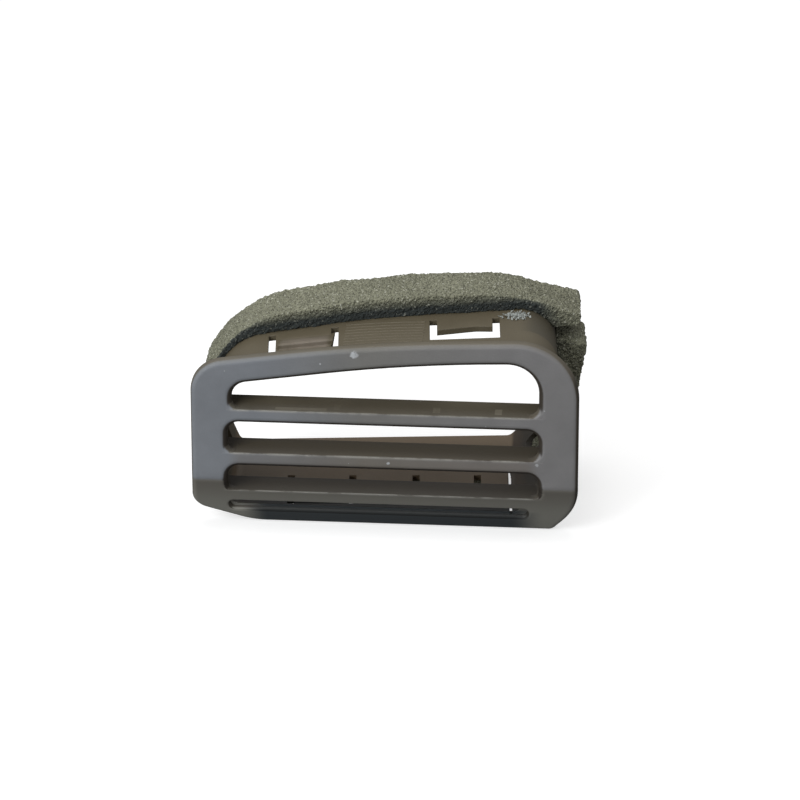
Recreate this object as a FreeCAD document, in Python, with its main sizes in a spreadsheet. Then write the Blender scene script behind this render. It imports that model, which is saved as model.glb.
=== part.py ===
import FreeCAD, Part
import math
import os
import re

import Sketcher
from FreeCAD import Placement, Rotation, Vector

# Console air vent: a one-piece face frame with fixed bars and a duct skirt, and the foam that seals it.
# Millimetres. While it is drawn, X = 0 is the middle of the face, Y = 0 its front, Z = 0 its bottom edge;
# +X is to the right seen from the front, +Y into the dash, +Z up. Left and right are as seen from the front.
# In the end every piece is shifted, so that the origin lies in the middle of the panel aperture.

doc = FreeCAD.newDocument("console_air_vent")
sheet = doc.addObject("Spreadsheet::Sheet", "Sizes")

SIZES = {
    # Face frame outline, seen from the front
    "face_half_width": 65.0,
    "crown_place": -3.9,
    "crown_height": 73.7,
    "crown_radius": 535.0,
    "left_fall": 9.0,
    "right_rise": 2.8,
    "left_shoulder_radius": 12.0,
    "right_shoulder_radius": 21.0,
    "chin_left_spread": 0.8,
    "chin_left_run": 19.6,
    "chin_left_rise": 8.1,
    "chin_left_radius": 7.0,
    "chin_left_sweep": 24.0,
    "chin_right_run": 8.7,
    "chin_right_rise": 11.6,
    "chin_right_radius": 26.0,
    "chin_right_corner": 3.0,
    # Face frame section: upright above the crease, and a chin that slants back below it
    "face_wall": 3.0,
    "crease_height": 21.45,
    "chin_setback": 12.36,
    "crease_radius": 5.0,
    "rim_round": 1.8,
    "slot_round": 2.4,
    # Slots, by the borders that they leave
    "left_border": 12.2,
    "right_border": 13.4,
    "slot_corner": 4.0,
    "top_slot_left_border": 13.8,
    "top_slot_left_fall": 9.1,
    "top_slot_left_radius": 5.5,
    "top_slot_crown_place": 9.2,
    "top_slot_crown_border": 7.4,
    "top_slot_crown_radius": 500.0,
    "top_slot_right_rise": 1.3,
    "top_slot_right_radius": 10.5,
    "chin_slot_left_border": 12.3,
    "chin_slot_right_border": 17.3,
    "chin_slot_bottom": 7.9,
    "chin_slot_drop": 0.9,
    "chin_slot_corner": 1.5,
    "chin_slot_round": 1.4,
    # Bars
    "top_bar_height": 48.2,
    "bar_pitch": 16.3,
    "bar_thickness": 5.3,
    "bar_rear_thickness": 3.4,
    "bar_depth": 12.0,
    "bar_rear_round": 0.8,
    "chin_bar_top": 16.2,
    "chin_bar_rise": 5.6,
    "chin_bar_depth": 14.2,
    # Duct skirt
    "skirt_wall": 2.0,
    "flange_left": 8.0,
    "flange_right": 6.5,
    "flange_drop": 2.0,
    "skirt_left_radius": 18.0,
    "skirt_right_radius": 12.0,
    "skirt_low_radius": 5.0,
    "corner_left_run": 4.2,
    "corner_left_height": 17.8,
    "corner_right_run": 13.2,
    "corner_right_height": 20.8,
    "floor_radius": 3.0,
    "duct_skew": 3.9,
    "draft_left": 2.3,
    "draft_right": 1.0,
    "draft_top": 1.0,
    "draft_depth": 75.0,
    "mouth_depth": 63.0,
    "mouth_lean": 13.5,
    "mouth_skew": 5.7,
    "root_collar_lip": 0.6,
    "root_collar_height": 1.0,
    # Snap tabs, in pairs at both sides of the middle
    "top_tab_place": 27.0,
    "top_tab_front": 7.3,
    "top_tab_root": 22.5,
    "floor_tab_place": 21.3,
    "floor_tab_front": 12.5,
    "floor_tab_root": 33.0,
    "tab_window": 23.4,
    "tab_gap": 2.4,
    "tab_end_gap": 1.0,
    "tab_catch": 1.5,
    "tab_catch_length": 3.0,
    "top_catch_run": 11.0,
    "broken_tab_length": 6.0,
    "broken_tab_bow": 2.0,
    # Floor slit and corner windows
    "slit_inset": 2.9,
    "slit_width": 0.9,
    "slit_front": 6.0,
    "slit_rear_inset": 16.0,
    "corner_window_inset": 15.0,
    "corner_window_length": 12.0,
    "corner_window_low": 13.3,
    "corner_window_rise": 6.5,
    # Foam seal
    "foam_thickness": 6.0,
    "foam_front": 26.0,
    "foam_width": 18.0,
    "foam_lean": 2.5,
    "foam_skew": 6.5,
    "foam_swell": 1.2,
    "foam_corner_radius": 36.0,
    "foam_low_radius": 10.0,
    "foam_low_drop": 2.0,
    "foam_tail_reach": 1.5,
    "foam_tail_fall": 2.5,
    "foam_tail_height": 4.7,
    "foam_tail_slant": 0.4,
    "foam_tail_run": 26.5,
    "foam_tail_sweep": 60.0,
    "foam_cut": 1.2,
    "side_foam_fall": 12.2,
    "side_foam_bulge": 5.5,
    "side_foam_slant": 2.0,
    "side_foam_sweep": 60.0,
}

for row, (name, size) in enumerate(SIZES.items(), start=1):
    sheet.set(f"A{row}", name)
    sheet.set(f"B{row}", str(size))
    sheet.setAlias(f"B{row}", name)
doc.recompute()
SHEET_NAMES = {name: f"Sizes.{name}" for name in SIZES}


def sized(text):
    """The expression with the sheet's name put before each of its sizes."""
    return re.sub(r"[a-z_]+", lambda found: SHEET_NAMES.get(found[0], found[0]), text)


def value(text):
    """The number that an expression over the sheet's sizes gives."""
    return float(sheet.evalExpression(sized(text)))


def bind(thing, field, text):
    """Ties a property or a named constraint to an expression over the sheet's sizes."""
    thing.setExpression(field, sized(text))


def new_body(name):
    body = doc.addObject("PartDesign::Body", name)
    body.Label = name
    return body


def new_sketch(body, name, plane, shift="0", turn=None):
    """A sketch on one of the body's own planes, shifted along its normal and turned about its upright axis."""
    sketch = body.newObject("Sketcher::SketchObject", name)
    support = [f for f in body.Origin.OriginFeatures if f.Role == plane][0]
    sketch.AttachmentSupport = [(support, "")]
    sketch.MapMode = "FlatFace"
    upright = Vector(0, 0, 1) if plane == "XY_Plane" else Vector(0, 1, 0)
    angle = value(turn) if turn else 0.0
    sketch.AttachmentOffset = Placement(Vector(0, 0, value(shift)), Rotation(upright, angle))
    if shift != "0":
        bind(sketch, "AttachmentOffset.Base.z", shift)
    if turn:
        bind(sketch, "AttachmentOffset.Rotation.Angle", turn)
    return sketch


def fitting_radii(places, radii):
    """Each corner's radius, or as much of it as its two sides have room for."""
    count = len(places)
    reach = []
    for i in range(count):
        inward = places[i] - places[i - 1]
        onward = places[(i + 1) % count] - places[i]
        reach.append(radii[i] * math.tan(inward.getAngle(onward) / 2))
    fitted = []
    for i in range(count):
        share = 1.0
        for j in (i - 1, (i + 1) % count):
            room = 0.98 * (places[j] - places[i]).Length
            if reach[i] + reach[j] > room and reach[i] > 0:
                share = min(share, room / (reach[i] + reach[j]))
        fitted.append(radii[i] * share)
    return fitted


def outline(sketch, corners):
    """A closed outline through corners given as (across, up, radius), each corner rounded by its radius."""
    count = len(corners)
    first = sketch.GeometryCount
    places = [Vector(value(across), value(up), 0) for across, up, radius in corners]
    radii = fitting_radii(places, [value(radius) for across, up, radius in corners])
    for i in range(count):
        sketch.addGeometry(Part.LineSegment(places[i], places[(i + 1) % count]), False)
    for i in range(count):
        ends = (first + i, 2, first + (i + 1) % count, 1)
        sketch.addConstraint(Sketcher.Constraint("Coincident", *ends))
    for i, (across, up, radius) in enumerate(corners):
        for kind, text, number in (("DistanceX", across, places[i].x), ("DistanceY", up, places[i].y)):
            made = sketch.addConstraint(Sketcher.Constraint(kind, -1, 1, first + i, 1, number))
            name = f"{kind}_{first}_{i}"
            sketch.renameConstraint(made, name)
            bind(sketch, f"Constraints.{name}", text)
    for i, (across, up, radius) in enumerate(corners):
        if radii[i] <= 0:
            continue
        before = (places[i - 1] + places[i]) / 2
        after = (places[i] + places[(i + 1) % count]) / 2
        arc = sketch.GeometryCount
        line_before = first + (i - 1) % count
        sketch.fillet(line_before, first + i, before, after, radii[i], True, True)
        made = sketch.addConstraint(Sketcher.Constraint("Radius", arc, radii[i]))
        name = f"Radius_{first}_{i}"
        sketch.renameConstraint(made, name)
        if abs(radii[i] - value(radius)) < 1e-9:
            bind(sketch, f"Constraints.{name}", radius)


def extrude(body, kind, name, profile, length, side="One side", back=False, along=None):
    """A pad or pocket of a sketch, by a length that is measured along the sketch's normal."""
    feature = body.newObject(f"PartDesign::{kind}", name)
    feature.Profile = profile
    feature.Type = "Length"
    feature.SideType = side
    feature.Reversed = back
    if along:
        feature.UseCustomVector = True
        feature.AlongSketchNormal = True
        feature.Direction = Vector(*[value(text) for text in along])
        for axis, text in zip("xyz", along):
            bind(feature, f"Direction.{axis}", text)
    feature.Length = value(length)
    bind(feature, "Length", length)
    profile.Visibility = False
    doc.recompute()
    return feature


# Sections and outlines that several pieces share
CHIN_SLOPE = "( chin_setback / crease_height )"
CHIN_SPREAD = f"sqrt( 1 + {CHIN_SLOPE} ^ 2 )"
LEFT_SLOPE = "( left_fall / ( face_half_width + crown_place ) )"
RIGHT_SLOPE = "( right_rise / ( face_half_width - crown_place ) )"
SKIRT_LEFT = "( face_half_width - flange_left )"
SKIRT_RIGHT = "( face_half_width - flange_right )"
FLOOR_RIGHT = f"( {SKIRT_RIGHT} - corner_right_run )"
SLIT_LEFT = f"( {FLOOR_RIGHT} - slit_inset )"
SLIT_RIGHT = f"( {SLIT_LEFT} + slit_width )"
SKEW = "tan( duct_skew )"
FLOOR_LOW = "( chin_slot_bottom - skirt_wall )"
ROOF_CROWN = "( crown_height - flange_drop )"
ALL_ACROSS = "4 * face_half_width"
HIGH_ABOVE = "2 * crown_height"
FAR_BELOW = "- crease_height"


def behind_chin(height, share):
    """Depth, at a height below the crease, of the surface that lies a share of the wall behind the chin."""
    return f"( ( crease_height - ( {height} ) ) * {CHIN_SLOPE} + {share} * face_wall * {CHIN_SPREAD} )"


def plate_profile(share, beyond):
    """Section of all that lies before (beyond < 0) or behind the surface at a share of the wall."""
    bend = f"( crease_height + {share} * face_wall * ( {CHIN_SPREAD} - 1 ) / {CHIN_SLOPE} )"
    radius = f"( crease_radius - {share} * face_wall )"
    return [
        (f"{share} * face_wall", HIGH_ABOVE, "0"),
        (beyond, HIGH_ABOVE, "0"),
        (beyond, FAR_BELOW, "0"),
        (behind_chin(FAR_BELOW, share), FAR_BELOW, "0"),
        (f"{share} * face_wall", bend, radius),
    ]


def bar_top(number):
    return f"( top_bar_height - {number} * bar_pitch )"


def half_turn(run, rise):
    """Tangent of half the angle at which a slanted wall rises."""
    return f"( ( sqrt( ( {run} ) ^ 2 + ( {rise} ) ^ 2 ) - ( {run} ) ) / ( {rise} ) )"


LEFT_RUN = "corner_left_run"
LEFT_RISE = f"( corner_left_height - {FLOOR_LOW} )"
RIGHT_RUN = "corner_right_run"
RIGHT_RISE = f"( corner_right_height - {FLOOR_LOW} )"


def side_place(side, wall, far):
    """Place across of a side wall's surface, at the face (far = 0) or at the draft depth (far = 1)."""
    sideways = f"{far} * draft_depth * {SKEW}"
    if side == "left":
        return f"( - {SKIRT_LEFT} + {wall} + {far} * draft_left - {sideways} )"
    return f"( {SKIRT_RIGHT} - {wall} - {far} * draft_right - {sideways} )"


def duct_outline(wall):
    """Outline of the duct at the face, set in by a wall."""
    low = f"( {FLOOR_LOW} + {wall} )"
    left = side_place("left", wall, 0)
    right = side_place("right", wall, 0)
    roof = f"( {ROOF_CROWN} - {wall} )"
    low_left = f"{left} + corner_left_run - {wall} + {wall} * {half_turn(LEFT_RUN, LEFT_RISE)}"
    low_right = f"{right} - corner_right_run + {wall} - {wall} * {half_turn(RIGHT_RUN, RIGHT_RISE)}"
    return [
        (low_left, low, "floor_radius"),
        (low_right, low, "floor_radius"),
        (right, f"corner_right_height + {wall} * {half_turn(RIGHT_RISE, RIGHT_RUN)}", "skirt_low_radius"),
        (right, f"{roof} + {RIGHT_SLOPE} * ( {right} - crown_place )", f"( skirt_right_radius - {wall} )"),
        ("crown_place", roof, "0.6 * crown_radius"),
        (left, f"{roof} - {LEFT_SLOPE} * ( crown_place - {left} )", f"( skirt_left_radius - {wall} )"),
        (left, f"corner_left_height + {wall} * {half_turn(LEFT_RISE, LEFT_RUN)}", "skirt_low_radius"),
    ]


# Face frame: a plate, upright above the crease and slanting back below it, with four slots
face = new_body("face")
face_outline = new_sketch(face, "face_outline", "XZ_Plane")
outline(
    face_outline,
    [
        ("- face_half_width + chin_left_run", "0", "chin_left_sweep"),
        ("face_half_width - chin_right_run", "0", "chin_right_corner"),
        ("face_half_width", "chin_right_rise", "chin_right_radius"),
        ("face_half_width", "crown_height + right_rise", "right_shoulder_radius"),
        ("crown_place", "crown_height", "crown_radius"),
        ("- face_half_width", "crown_height - left_fall", "left_shoulder_radius"),
        ("- face_half_width", "crease_height", "4 * crease_radius"),
        ("- face_half_width - chin_left_spread", "chin_left_rise", "chin_left_radius"),
    ],
)
extrude(face, "Pad", "face_block", face_outline, "4 * chin_setback", side="Symmetric")

before_face = new_sketch(face, "before_face", "YZ_Plane")
outline(before_face, plate_profile("0", "- 3 * chin_setback"))
extrude(face, "Pocket", "face_front", before_face, ALL_ACROSS, side="Symmetric")

behind_face = new_sketch(face, "behind_face", "YZ_Plane")
outline(behind_face, plate_profile("1", "6 * chin_setback"))
extrude(face, "Pocket", "face_back", behind_face, ALL_ACROSS, side="Symmetric")

chin_bar_bottom = "( chin_bar_top - chin_bar_rise )"
slot_left = "( - face_half_width + left_border )"
slot_right = "( face_half_width - right_border )"
top_slot_left = "( - face_half_width + top_slot_left_border )"
top_slot_crown = "( crown_height - top_slot_crown_border )"
chin_slot_left = "( - face_half_width + chin_slot_left_border )"
chin_slot_right = "( face_half_width - chin_slot_right_border )"
chin_slot_low = "( chin_slot_bottom - chin_slot_drop )"
slots = new_sketch(face, "slots", "XZ_Plane")
outline(
    slots,
    [
        (top_slot_left, bar_top(0), "0"),
        (slot_right, bar_top(0), "0"),
        (slot_right, f"{top_slot_crown} + top_slot_right_rise", "top_slot_right_radius"),
        ("top_slot_crown_place", top_slot_crown, "top_slot_crown_radius"),
        (top_slot_left, f"{top_slot_crown} - top_slot_left_fall", "top_slot_left_radius"),
    ],
)
for low, high in (
    (bar_top(1), f"{bar_top(0)} - bar_thickness"),
    ("chin_bar_top", f"{bar_top(1)} - bar_thickness"),
):
    outline(
        slots,
        [
            (slot_left, low, "0"),
            (slot_right, low, "0"),
            (slot_right, high, "slot_corner"),
            (slot_left, high, "slot_corner"),
        ],
    )
outline(
    slots,
    [
        (chin_slot_left, chin_slot_low, "chin_slot_corner"),
        (chin_slot_right, chin_slot_low, "chin_slot_corner"),
        (chin_slot_right, chin_bar_bottom, "chin_slot_corner"),
        (chin_slot_left, chin_bar_bottom, "chin_slot_corner"),
    ],
)
extrude(face, "Pocket", "slot_cuts", slots, "8 * chin_setback", side="Symmetric")


def front_edges(shape, drawn):
    """Edges between the front of the plate and the walls that stand on a drawn outline."""
    fronts = [f for f in shape.Faces if f.normalAt(*f.Surface.parameter(f.CenterOfMass)).y < -0.5]
    lines = drawn.Shape
    found = []
    for number, edge in enumerate(shape.Edges, start=1):
        middle = edge.valueAt((edge.FirstParameter + edge.LastParameter) / 2)
        owners = [f for f in fronts if f.distToShape(Part.Vertex(middle))[0] < 1e-5]
        flat = Part.Vertex(Vector(middle.x, 0, middle.z))
        if len(owners) == 1 and lines.distToShape(flat)[0] < 1e-5:
            found.append((f"Edge{number}", middle))
    return found


def round_edges(body, name, chosen, radius, room=math.inf):
    """A rounding of the chosen edges by a radius, or by as much of it as they have room for."""
    rounded = body.Tip
    feature = body.newObject("PartDesign::Fillet", name)
    feature.Base = (rounded, chosen)
    feature.Radius = min(value(radius), room)
    if value(radius) <= room + 1e-9:
        bind(feature, "Radius", radius)
    doc.recompute()
    return feature


rim = [name for name, middle in front_edges(face.Shape, face_outline)]
round_edges(face, "rim_rounding", rim, "rim_round")
sills = [bar_top(0), bar_top(1), "chin_bar_top", chin_slot_low]
sill_levels = [value(text) for text in sills]


def slot_lips(lowest, highest):
    """The front edges of the slots between two heights, without the sills, that stay sharp."""
    return [
        name
        for name, middle in front_edges(face.Shape, slots)
        if lowest < middle.z < highest and all(abs(middle.z - level) > 1e-4 for level in sill_levels)
    ]


round_edges(face, "slot_rounding", slot_lips(value("chin_bar_top"), math.inf), "slot_round")
round_edges(face, "chin_slot_rounding", slot_lips(0, value("chin_bar_top")), "chin_slot_round")

# Duct skirt: a tapering tube that runs back askew from the plate, as an outside and an inside solid.
# Each is an upright wedge, trimmed by a slanting plane at each slope of the roof and each low corner.
duct = {}
for name, wall in (("duct_outside", "0"), ("duct_inside", "skirt_wall")):
    tube = new_body(name)
    sides = {side: [side_place(side, wall, far) for far in (0, 1)] for side in ("left", "right")}
    plan = new_sketch(tube, f"{name}_plan", "XY_Plane", shift=f"{FLOOR_LOW} + {wall}")
    outline(
        plan,
        [
            (sides["left"][0], "0", "0"),
            (sides["right"][0], "0", "0"),
            (sides["right"][1], "draft_depth", "0"),
            (sides["left"][1], "draft_depth", "0"),
        ],
    )
    extrude(tube, "Pad", f"{name}_wedge", plan, HIGH_ABOVE)
    corners = duct_outline(wall)
    left_low, right_low = corners[6][1], corners[2][1]
    roof = corners[4][1]
    roof_deep = f"{roof} - draft_top"
    crown_deep = f"( crown_place - draft_depth * {SKEW} )"
    low_left = f"( - {LEFT_RISE} / {LEFT_RUN} )"
    low_right = f"( {RIGHT_RISE} / {RIGHT_RUN} )"
    above = HIGH_ABOVE
    below = f"( - {HIGH_ABOVE} )"
    trims = {
        "roof_left": (LEFT_SLOPE, roof, "crown_place", roof_deep, crown_deep, above),
        "roof_right": (RIGHT_SLOPE, roof, "crown_place", roof_deep, crown_deep, above),
        "low_left": (low_left, left_low, sides["left"][0], left_low, sides["left"][1], below),
        "low_right": (low_right, right_low, sides["right"][0], right_low, sides["right"][1], below),
    }
    for trim, (slope, height, place, deep_height, deep_place, beyond) in trims.items():
        near = f"( {height} - {slope} * {place} )"
        deep = f"( {deep_height} - {slope} * {deep_place} )"
        section = new_sketch(tube, f"{name}_{trim}", "YZ_Plane")
        outline(
            section,
            [
                ("0", near, "0"),
                ("draft_depth", deep, "0"),
                ("draft_depth", f"{deep} + {beyond}", "0"),
                ("0", f"{near} + {beyond}", "0"),
            ],
        )
        along = ("1", "0", slope)
        extrude(tube, "Pocket", f"{name}_{trim}_trim", section, ALL_ACROSS, side="Symmetric", along=along)
    places = [Vector(value(across), 0, value(up)) for across, up, radius in corners]
    rooms = fitting_radii(places, [value(radius) for across, up, radius in corners])
    for number, place in enumerate(places):
        running_back = [
            f"Edge{index}"
            for index, edge in enumerate(tube.Shape.Edges, start=1)
            if min((vertex.Point - place).Length for vertex in edge.Vertexes) < 1e-4
            and abs(edge.Vertexes[0].Y - edge.Vertexes[-1].Y) > 1
        ]
        round_edges(tube, f"{name}_rounding_{number}", running_back, corners[number][2], rooms[number])
    duct[name] = tube

before_duct = new_sketch(duct["duct_outside"], "before_duct", "YZ_Plane")
outline(before_duct, plate_profile("0.5", "- 3 * chin_setback"))
extrude(duct["duct_outside"], "Pocket", "duct_front", before_duct, ALL_ACROSS, side="Symmetric")

# Root collar: a low straight step round the skirt's root, where the panel's edge rests against it
collar = new_body("root_collar")
collar_outline = new_sketch(collar, "root_collar_outline", "XZ_Plane")
outline(collar_outline, duct_outline("( - root_collar_lip )"))
extrude(collar, "Pad", "root_collar_block", collar_outline, "4 * chin_setback", side="Symmetric")
before_collar = new_sketch(collar, "before_collar", "YZ_Plane")
outline(before_collar, plate_profile("0.5", "- 3 * chin_setback"))
extrude(collar, "Pocket", "collar_front", before_collar, ALL_ACROSS, side="Symmetric")
behind_collar = new_sketch(collar, "behind_collar", "YZ_Plane")
outline(behind_collar, plate_profile("( 1 + root_collar_height / face_wall )", "6 * chin_setback"))
extrude(collar, "Pocket", "collar_back", behind_collar, ALL_ACROSS, side="Symmetric")

mouth = new_sketch(duct["duct_outside"], "beyond_mouth", "YZ_Plane", turn="mouth_skew")
outline(
    mouth,
    [
        ("mouth_depth + mouth_lean", f"- {ROOF_CROWN}", "0"),
        ("3 * mouth_depth", f"- {ROOF_CROWN}", "0"),
        ("3 * mouth_depth", f"2 * {ROOF_CROWN}", "0"),
        ("mouth_depth - 2 * mouth_lean", f"2 * {ROOF_CROWN}", "0"),
    ],
)
extrude(duct["duct_outside"], "Pocket", "duct_mouth", mouth, ALL_ACROSS, side="Symmetric")

# Bars behind the plate: level on top, rising underneath towards their rounded rear edge
bars = new_body("bars")
bar_sections = new_sketch(bars, "bar_sections", "YZ_Plane")
for number in (0, 1):
    outline(
        bar_sections,
        [
            ("0.7 * face_wall", bar_top(number), "0"),
            ("0.7 * face_wall", f"{bar_top(number)} - bar_thickness", "0"),
            ("face_wall", f"{bar_top(number)} - bar_thickness", "0"),
            ("bar_depth", f"{bar_top(number)} - bar_rear_thickness", "bar_rear_round"),
            ("bar_depth", bar_top(number), "bar_rear_round"),
        ],
    )
outline(
    bar_sections,
    [
        (behind_chin("chin_bar_top", "0.5"), "chin_bar_top", "0"),
        (behind_chin(chin_bar_bottom, "0.5"), chin_bar_bottom, "0"),
        ("chin_bar_depth", "chin_bar_top - bar_rear_thickness", "bar_rear_round"),
        ("chin_bar_depth", "chin_bar_top", "bar_rear_round"),
    ],
)
extrude(bars, "Pad", "bar_lengths", bar_sections, ALL_ACROSS, side="Symmetric")


def boolean(kind, name, base, tool):
    feature = doc.addObject(f"Part::{kind}", name)
    feature.Label = name
    feature.Base = base
    feature.Tool = tool
    return feature


# Openings in the skirt, drawn in the duct's own direction: tab windows, floor slit and corner windows
half_window = "0.5 * tab_window"
half_tongue = "( 0.5 * tab_window - tab_gap )"


def window_outline(sketch, place, front, root, bridge):
    """A window round a tongue that hangs at the root; the bridge lists the corners of its free end."""
    outline(
        sketch,
        [
            (f"{place} - {half_window}", front, "0"),
            (f"{place} + {half_window}", front, "0"),
            (f"{place} + {half_window}", root, "0"),
            (f"{place} + {half_tongue}", root, "0"),
            *bridge,
            (f"{place} - {half_tongue}", root, "0"),
            (f"{place} - {half_window}", root, "0"),
        ],
    )


def free_end(place, front):
    end = f"{front} + tab_end_gap"
    return [(f"{place} + {half_tongue}", end, "0"), (f"{place} - {half_tongue}", end, "0")]


roof_openings = new_body("roof_openings")
roof_windows = new_sketch(roof_openings, "roof_windows", "XY_Plane", shift="0.5 * crown_height", turn="duct_skew")
window_outline(
    roof_windows,
    "- top_tab_place",
    "top_tab_front",
    "top_tab_root",
    free_end("- top_tab_place", "top_tab_front"),
)
broken_end = "( top_tab_root - broken_tab_length )"
window_outline(
    roof_windows,
    "top_tab_place",
    "top_tab_front",
    "top_tab_root",
    [
        (f"top_tab_place + {half_tongue}", f"{broken_end} - 0.3 * broken_tab_bow", "0"),
        (f"top_tab_place + 0.4 * {half_tongue}", broken_end, "4 * broken_tab_bow"),
        (f"top_tab_place - {half_tongue}", f"{broken_end} - broken_tab_bow", "0"),
    ],
)
extrude(roof_openings, "Pad", "roof_window_cuts", roof_windows, "crown_height")

floor_openings = new_body("floor_openings")
floor_windows = new_sketch(
    floor_openings, "floor_windows", "XY_Plane", shift=f"{FLOOR_LOW} - skirt_wall", turn="duct_skew"
)
for place in ("- floor_tab_place", "floor_tab_place"):
    window_outline(
        floor_windows, place, "floor_tab_front", "floor_tab_root", free_end(place, "floor_tab_front")
    )
outline(
    floor_windows,
    [
        (SLIT_LEFT, "slit_front", "0"),
        (SLIT_RIGHT, "slit_front", "0"),
        (SLIT_RIGHT, "mouth_depth - slit_rear_inset", "0"),
        (SLIT_LEFT, "mouth_depth - slit_rear_inset", "0"),
    ],
)
extrude(floor_openings, "Pad", "floor_window_cuts", floor_windows, "3 * skirt_wall")

side_openings = new_body("side_openings")
side_windows = new_sketch(side_openings, "side_windows", "YZ_Plane", turn="duct_skew")
window_rear = "( mouth_depth - corner_window_inset )"
window_front = f"( {window_rear} - corner_window_length )"
window_top = "( corner_window_low + corner_window_rise )"
window_radius = "0.3 * corner_window_rise"
outline(
    side_windows,
    [
        (window_front, "corner_window_low", window_radius),
        (window_rear, "corner_window_low", window_radius),
        (window_rear, window_top, window_radius),
        (window_front, window_top, window_radius),
    ],
)
extrude(side_openings, "Pad", "side_window_cuts", side_windows, ALL_ACROSS, side="Symmetric")

# Catches: a ramp on the free end of the whole top tab and one under each floor tab
top_catch = new_body("top_catch")
top_catch_section = new_sketch(top_catch, "top_catch_section", "YZ_Plane", shift="- top_tab_place")
tab_roof = f"( {ROOF_CROWN} - {LEFT_SLOPE} * ( crown_place + top_tab_place ) - 0.5 * skirt_wall )"
tab_start = "( top_tab_front + tab_end_gap )"
outline(
    top_catch_section,
    [
        (tab_start, tab_roof, "0"),
        (f"{tab_start} + top_catch_run", tab_roof, "0"),
        (f"{tab_start} + 0.5 * tab_catch_length", f"{tab_roof} + 0.5 * skirt_wall + tab_catch", "0"),
        (tab_start, f"{tab_roof} + 0.5 * skirt_wall + tab_catch", "0"),
    ],
)
extrude(
    top_catch,
    "Pad",
    "top_catch_ramp",
    top_catch_section,
    f"2 * {half_tongue}",
    side="Symmetric",
    along=("1", "0", LEFT_SLOPE),
)

floor_catches = []
for name, place in (("left_catch", "- floor_tab_place"), ("right_catch", "floor_tab_place")):
    catch = new_body(name)
    section = new_sketch(catch, f"{name}_section", "YZ_Plane", shift=place)
    catch_front = "( floor_tab_front + tab_end_gap )"
    outline(
        section,
        [
            (f"{catch_front}", f"{FLOOR_LOW} + 0.5 * skirt_wall", "0"),
            (f"{catch_front}", f"{FLOOR_LOW} - tab_catch", "0"),
            (f"{catch_front} + 0.5 * tab_catch_length", f"{FLOOR_LOW} - tab_catch", "0"),
            (f"{catch_front} + 2 * tab_catch_length", f"{FLOOR_LOW} + 0.5 * skirt_wall", "0"),
        ],
    )
    extrude(catch, "Pad", f"{name}_ramp", section, f"1.6 * {half_tongue}", side="Symmetric")
    floor_catches.append(catch)

openings = doc.addObject("Part::MultiFuse", "openings")
openings.Shapes = [roof_openings, floor_openings, side_openings]
rooted = doc.addObject("Part::MultiFuse", "skirt_with_collar")
rooted.Shapes = [duct["duct_outside"], collar]
walls = boolean("Cut", "skirt_walls", rooted, duct["duct_inside"])
skirt = boolean("Cut", "skirt", walls, openings)
inner_bars = boolean("Common", "bars_in_duct", bars, duct["duct_outside"])
doc.recompute()

# Foam: a band round the skirt, drawn along the duct, that fits the skirt's outside
foam_left = f"( {SKIRT_LEFT} - 0.5 * draft_left + foam_thickness )"
foam_band = new_body("foam_band")
band_section = new_sketch(foam_band, "foam_band_section", "YZ_Plane", turn="foam_skew")
outline(
    band_section,
    [
        ("foam_front + 2 * foam_lean", f"- {ROOF_CROWN}", "0"),
        ("foam_front + foam_width + 2 * foam_lean", f"- {ROOF_CROWN}", "0"),
        ("foam_front + foam_width - foam_lean", f"2 * {ROOF_CROWN}", "0"),
        ("foam_front - foam_lean", f"2 * {ROOF_CROWN}", "0"),
    ],
)
extrude(foam_band, "Pad", "foam_band_width", band_section, ALL_ACROSS, side="Symmetric")

foam_roof = f"( {ROOF_CROWN} + foam_thickness )"
foam_right = f"( {SKIRT_RIGHT} + foam_thickness )"
foam_low = "0"
tail_end = "( face_half_width + foam_tail_reach )"
tail_top = "( crown_height - foam_tail_fall )"
tail_bend = f"( {tail_end} - foam_tail_run )"
side_top = "( crown_height - side_foam_fall )"
strips = {
    "foam_strip": [
        (f"{SLIT_LEFT} - 0.5 * foam_cut", foam_low, "0"),
        (f"{SLIT_LEFT} - 0.5 * foam_cut", "0.5 * crown_height", "0"),
        (f"0.7 * {SKIRT_RIGHT}", "0.9 * crown_height", "0"),
        (f"{tail_end} - foam_tail_slant", f"{tail_top} - foam_tail_height", "0"),
        (tail_end, tail_top, "0"),
        (tail_bend, f"{foam_roof} + {RIGHT_SLOPE} * ( {tail_bend} - crown_place )", "foam_tail_sweep"),
        ("crown_place", f"{foam_roof} + foam_swell", "0.4 * crown_radius"),
        (
            f"- {foam_left}",
            f"{foam_roof} - {LEFT_SLOPE} * ( crown_place + {foam_left} )",
            "foam_corner_radius",
        ),
        (f"- {foam_left}", "corner_left_height - foam_low_drop", "foam_low_radius"),
        (f"- {SKIRT_LEFT} + corner_left_run + draft_left - 0.5 * foam_thickness", foam_low, "foam_low_radius"),
    ],
    "foam_side_strip": [
        (f"{SLIT_RIGHT} + 0.5 * foam_cut", foam_low, "0"),
        (f"{FLOOR_RIGHT} + foam_thickness", foam_low, "foam_low_radius"),
        (f"{foam_right} - 0.5 * draft_right", "corner_right_height - foam_low_drop", "foam_low_radius"),
        (foam_right, "0.5 * crown_height", "side_foam_sweep"),
        (f"{foam_right} + 0.7 * side_foam_bulge", f"{side_top} - side_foam_slant", "0"),
        (f"{foam_right} - 0.2 * foam_thickness", side_top, "0"),
        (f"0.8 * {SKIRT_RIGHT}", side_top, "0"),
        (f"0.8 * {SKIRT_RIGHT}", "corner_right_height", "0"),
        (f"{SLIT_RIGHT} + 0.5 * foam_cut", "0.5 * corner_right_height", "0"),
    ],
}
foams = []
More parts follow.
